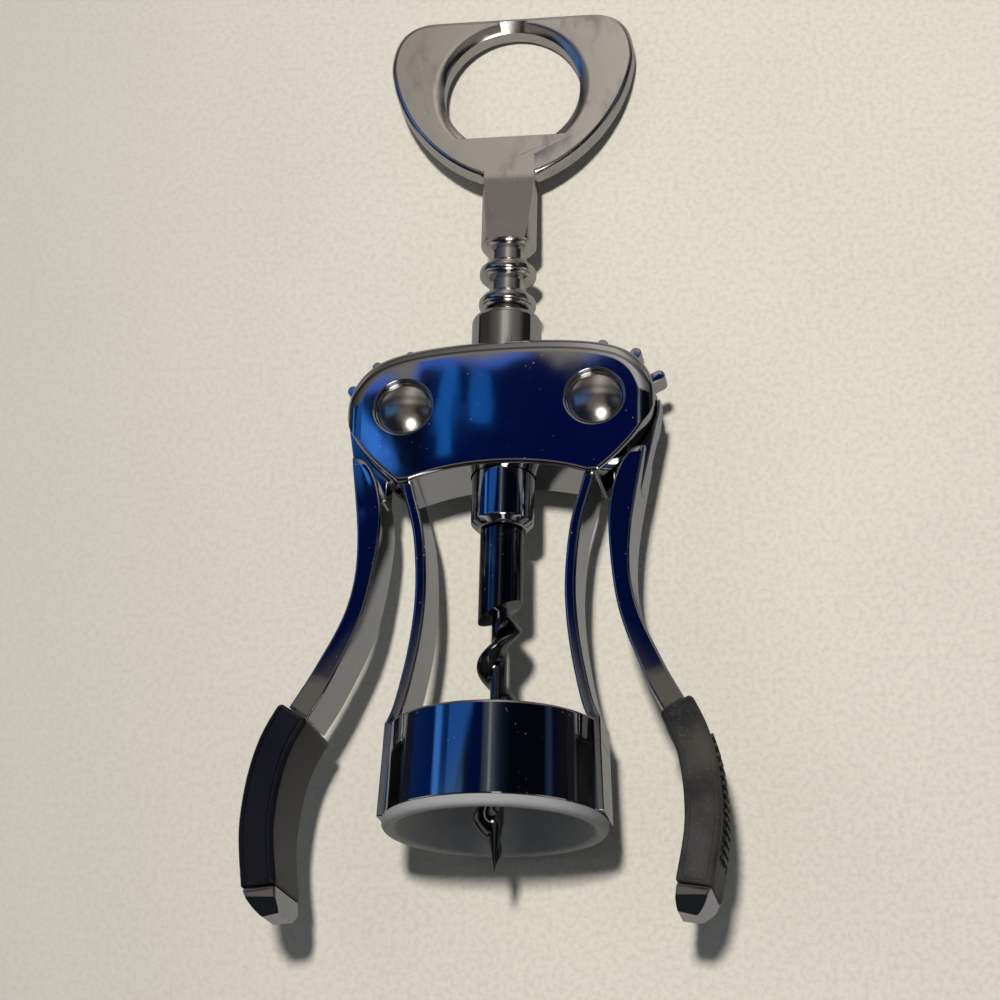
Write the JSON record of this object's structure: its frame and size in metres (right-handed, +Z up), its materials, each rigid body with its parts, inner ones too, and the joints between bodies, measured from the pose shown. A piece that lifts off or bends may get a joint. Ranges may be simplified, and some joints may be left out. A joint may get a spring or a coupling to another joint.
{
  "type": "wing corkscrew",
  "caption": "Wing corkscrew: geared levers raise a ring rack with an auger worm through a lined bell; the handle is a bottle opener.",
  "frame": {"origin": "middle of the box round the tool as it lies on its back, on the table", "axes": "+Y along the tool towards the bottle opener, +X to the tool's right lever, +Z up from the table"},
  "size_m": [0.0884, 0.1866, 0.0414],
  "materials": {
    "chrome_plate": "bright chrome plating",
    "worm_steel": "plated steel, a little duller",
    "rivet_steel": "polished steel",
    "black_grip": "fine moulded grain",
    "liner_plastic": "satin",
    "washer_plastic": "satin"
  },
  "bodies": {
    "frame": {"frame_casting": "chrome_plate", "bell_ring": "chrome_plate", "bell_liner": "liner_plastic", "left_pivot_pin": "rivet_steel", "left_pin_cap": "rivet_steel", "left_front_washer": "washer_plastic", "left_rear_washer": "washer_plastic", "right_pivot_pin": "rivet_steel", "right_pin_cap": "rivet_steel", "right_front_washer": "washer_plastic", "right_rear_washer": "washer_plastic"},
    "collar": {"lower_collar": "chrome_plate"},
    "handle": {"opener_handle": "chrome_plate", "worm": "worm_steel"},
    "left_lever_arm": {"left_lever": "chrome_plate", "left_grip": "black_grip", "left_grip_rib_pad": "black_grip"},
    "right_lever_arm": {"right_lever": "chrome_plate", "right_grip": "black_grip", "right_grip_rib_pad": "black_grip"}
  },
  "joints": [
    {"name": "rack_slide", "type": "slide", "parent": "frame", "child": "collar", "axis": [0, -0.9942, 0.1078], "range_m": [-0.0014, 0.03]},
    {"name": "screw_spin", "type": "hinge", "parent": "collar", "child": "handle", "pos_m": [0.00202, 0.00396, 0.01259], "axis": [0, -0.9942, 0.1078], "continuous": true},
    {"name": "left_lever_hinge", "type": "hinge", "parent": "frame", "child": "left_lever_arm", "pos_m": [-0.01638, 0.00396, 0.01259], "axis": [0, -0.1078, -0.9942], "range_deg": [-6.3, 134.5]},
    {"name": "right_lever_hinge", "type": "hinge", "parent": "frame", "child": "right_lever_arm", "pos_m": [0.02042, 0.00396, 0.01259], "axis": [0, 0.1078, 0.9942], "range_deg": [-6.3, 134.5]}
  ],
  "couplings": [
    {"joint": "left_lever_hinge", "follows": "rack_slide", "rad_per_m": 78.149},
    {"joint": "right_lever_hinge", "follows": "rack_slide", "rad_per_m": 78.149}
  ]
}
